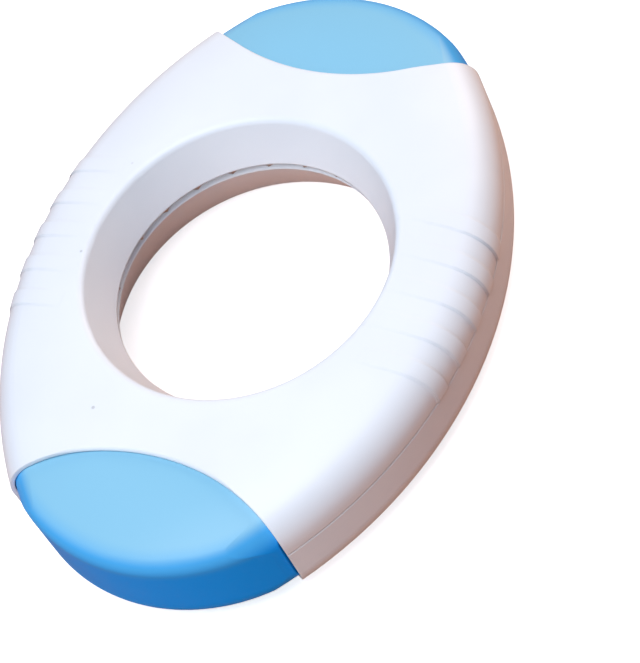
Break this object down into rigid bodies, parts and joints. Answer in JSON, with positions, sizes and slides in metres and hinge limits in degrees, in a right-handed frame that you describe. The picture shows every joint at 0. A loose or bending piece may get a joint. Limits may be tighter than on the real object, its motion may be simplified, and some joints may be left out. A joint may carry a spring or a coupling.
{
  "type": "egg topper",
  "caption": "Flat oval hand tool: an egg goes in the round hole, and squeezing both end buttons moves toothed half rings in to crack the top of its shell.",
  "frame": {"origin": "centre of the bounding box at the rear face, on the axis of the egg hole", "axes": "+Z along the hole from the rear face to the front face, +X along the length from the west to the east button, +Y across the grip sides"},
  "size_m": [0.1, 0.0728, 0.019],
  "materials": {
    "casing": "satin white ABS",
    "buttons": "satin light blue ABS",
    "sliders": "natural acetal",
    "blades": "stamped stainless steel",
    "screws": "bright zinc plate",
    "springs": "drawn stainless wire"
  },
  "bodies": {
    "casing": {"front_shell": "casing", "rear_shell": "casing", "case_screws": "screws", "spring_north_east": "springs", "spring_north_west": "springs", "spring_south_east": "springs", "spring_south_west": "springs"},
    "east_pusher": {"button_east": "buttons", "slider_east": "sliders", "blade_east": "blades", "blade_screws_east": "screws"},
    "west_pusher": {"button_west": "buttons", "slider_west": "sliders", "blade_west": "blades", "blade_screws_west": "screws"}
  },
  "joints": [
    {"name": "east_slide", "type": "slide", "parent": "casing", "child": "east_pusher", "axis": [-1, 0, 0], "range_m": [0, 0.004], "stiffness_N_per_m": 700, "springref_m": -0.002, "deforming": ["spring_north_east", "spring_south_east"]},
    {"name": "west_slide", "type": "slide", "parent": "casing", "child": "west_pusher", "axis": [1, 0, 0], "range_m": [0, 0.004], "stiffness_N_per_m": 700, "springref_m": -0.002, "deforming": ["spring_north_west", "spring_south_west"]}
  ]
}
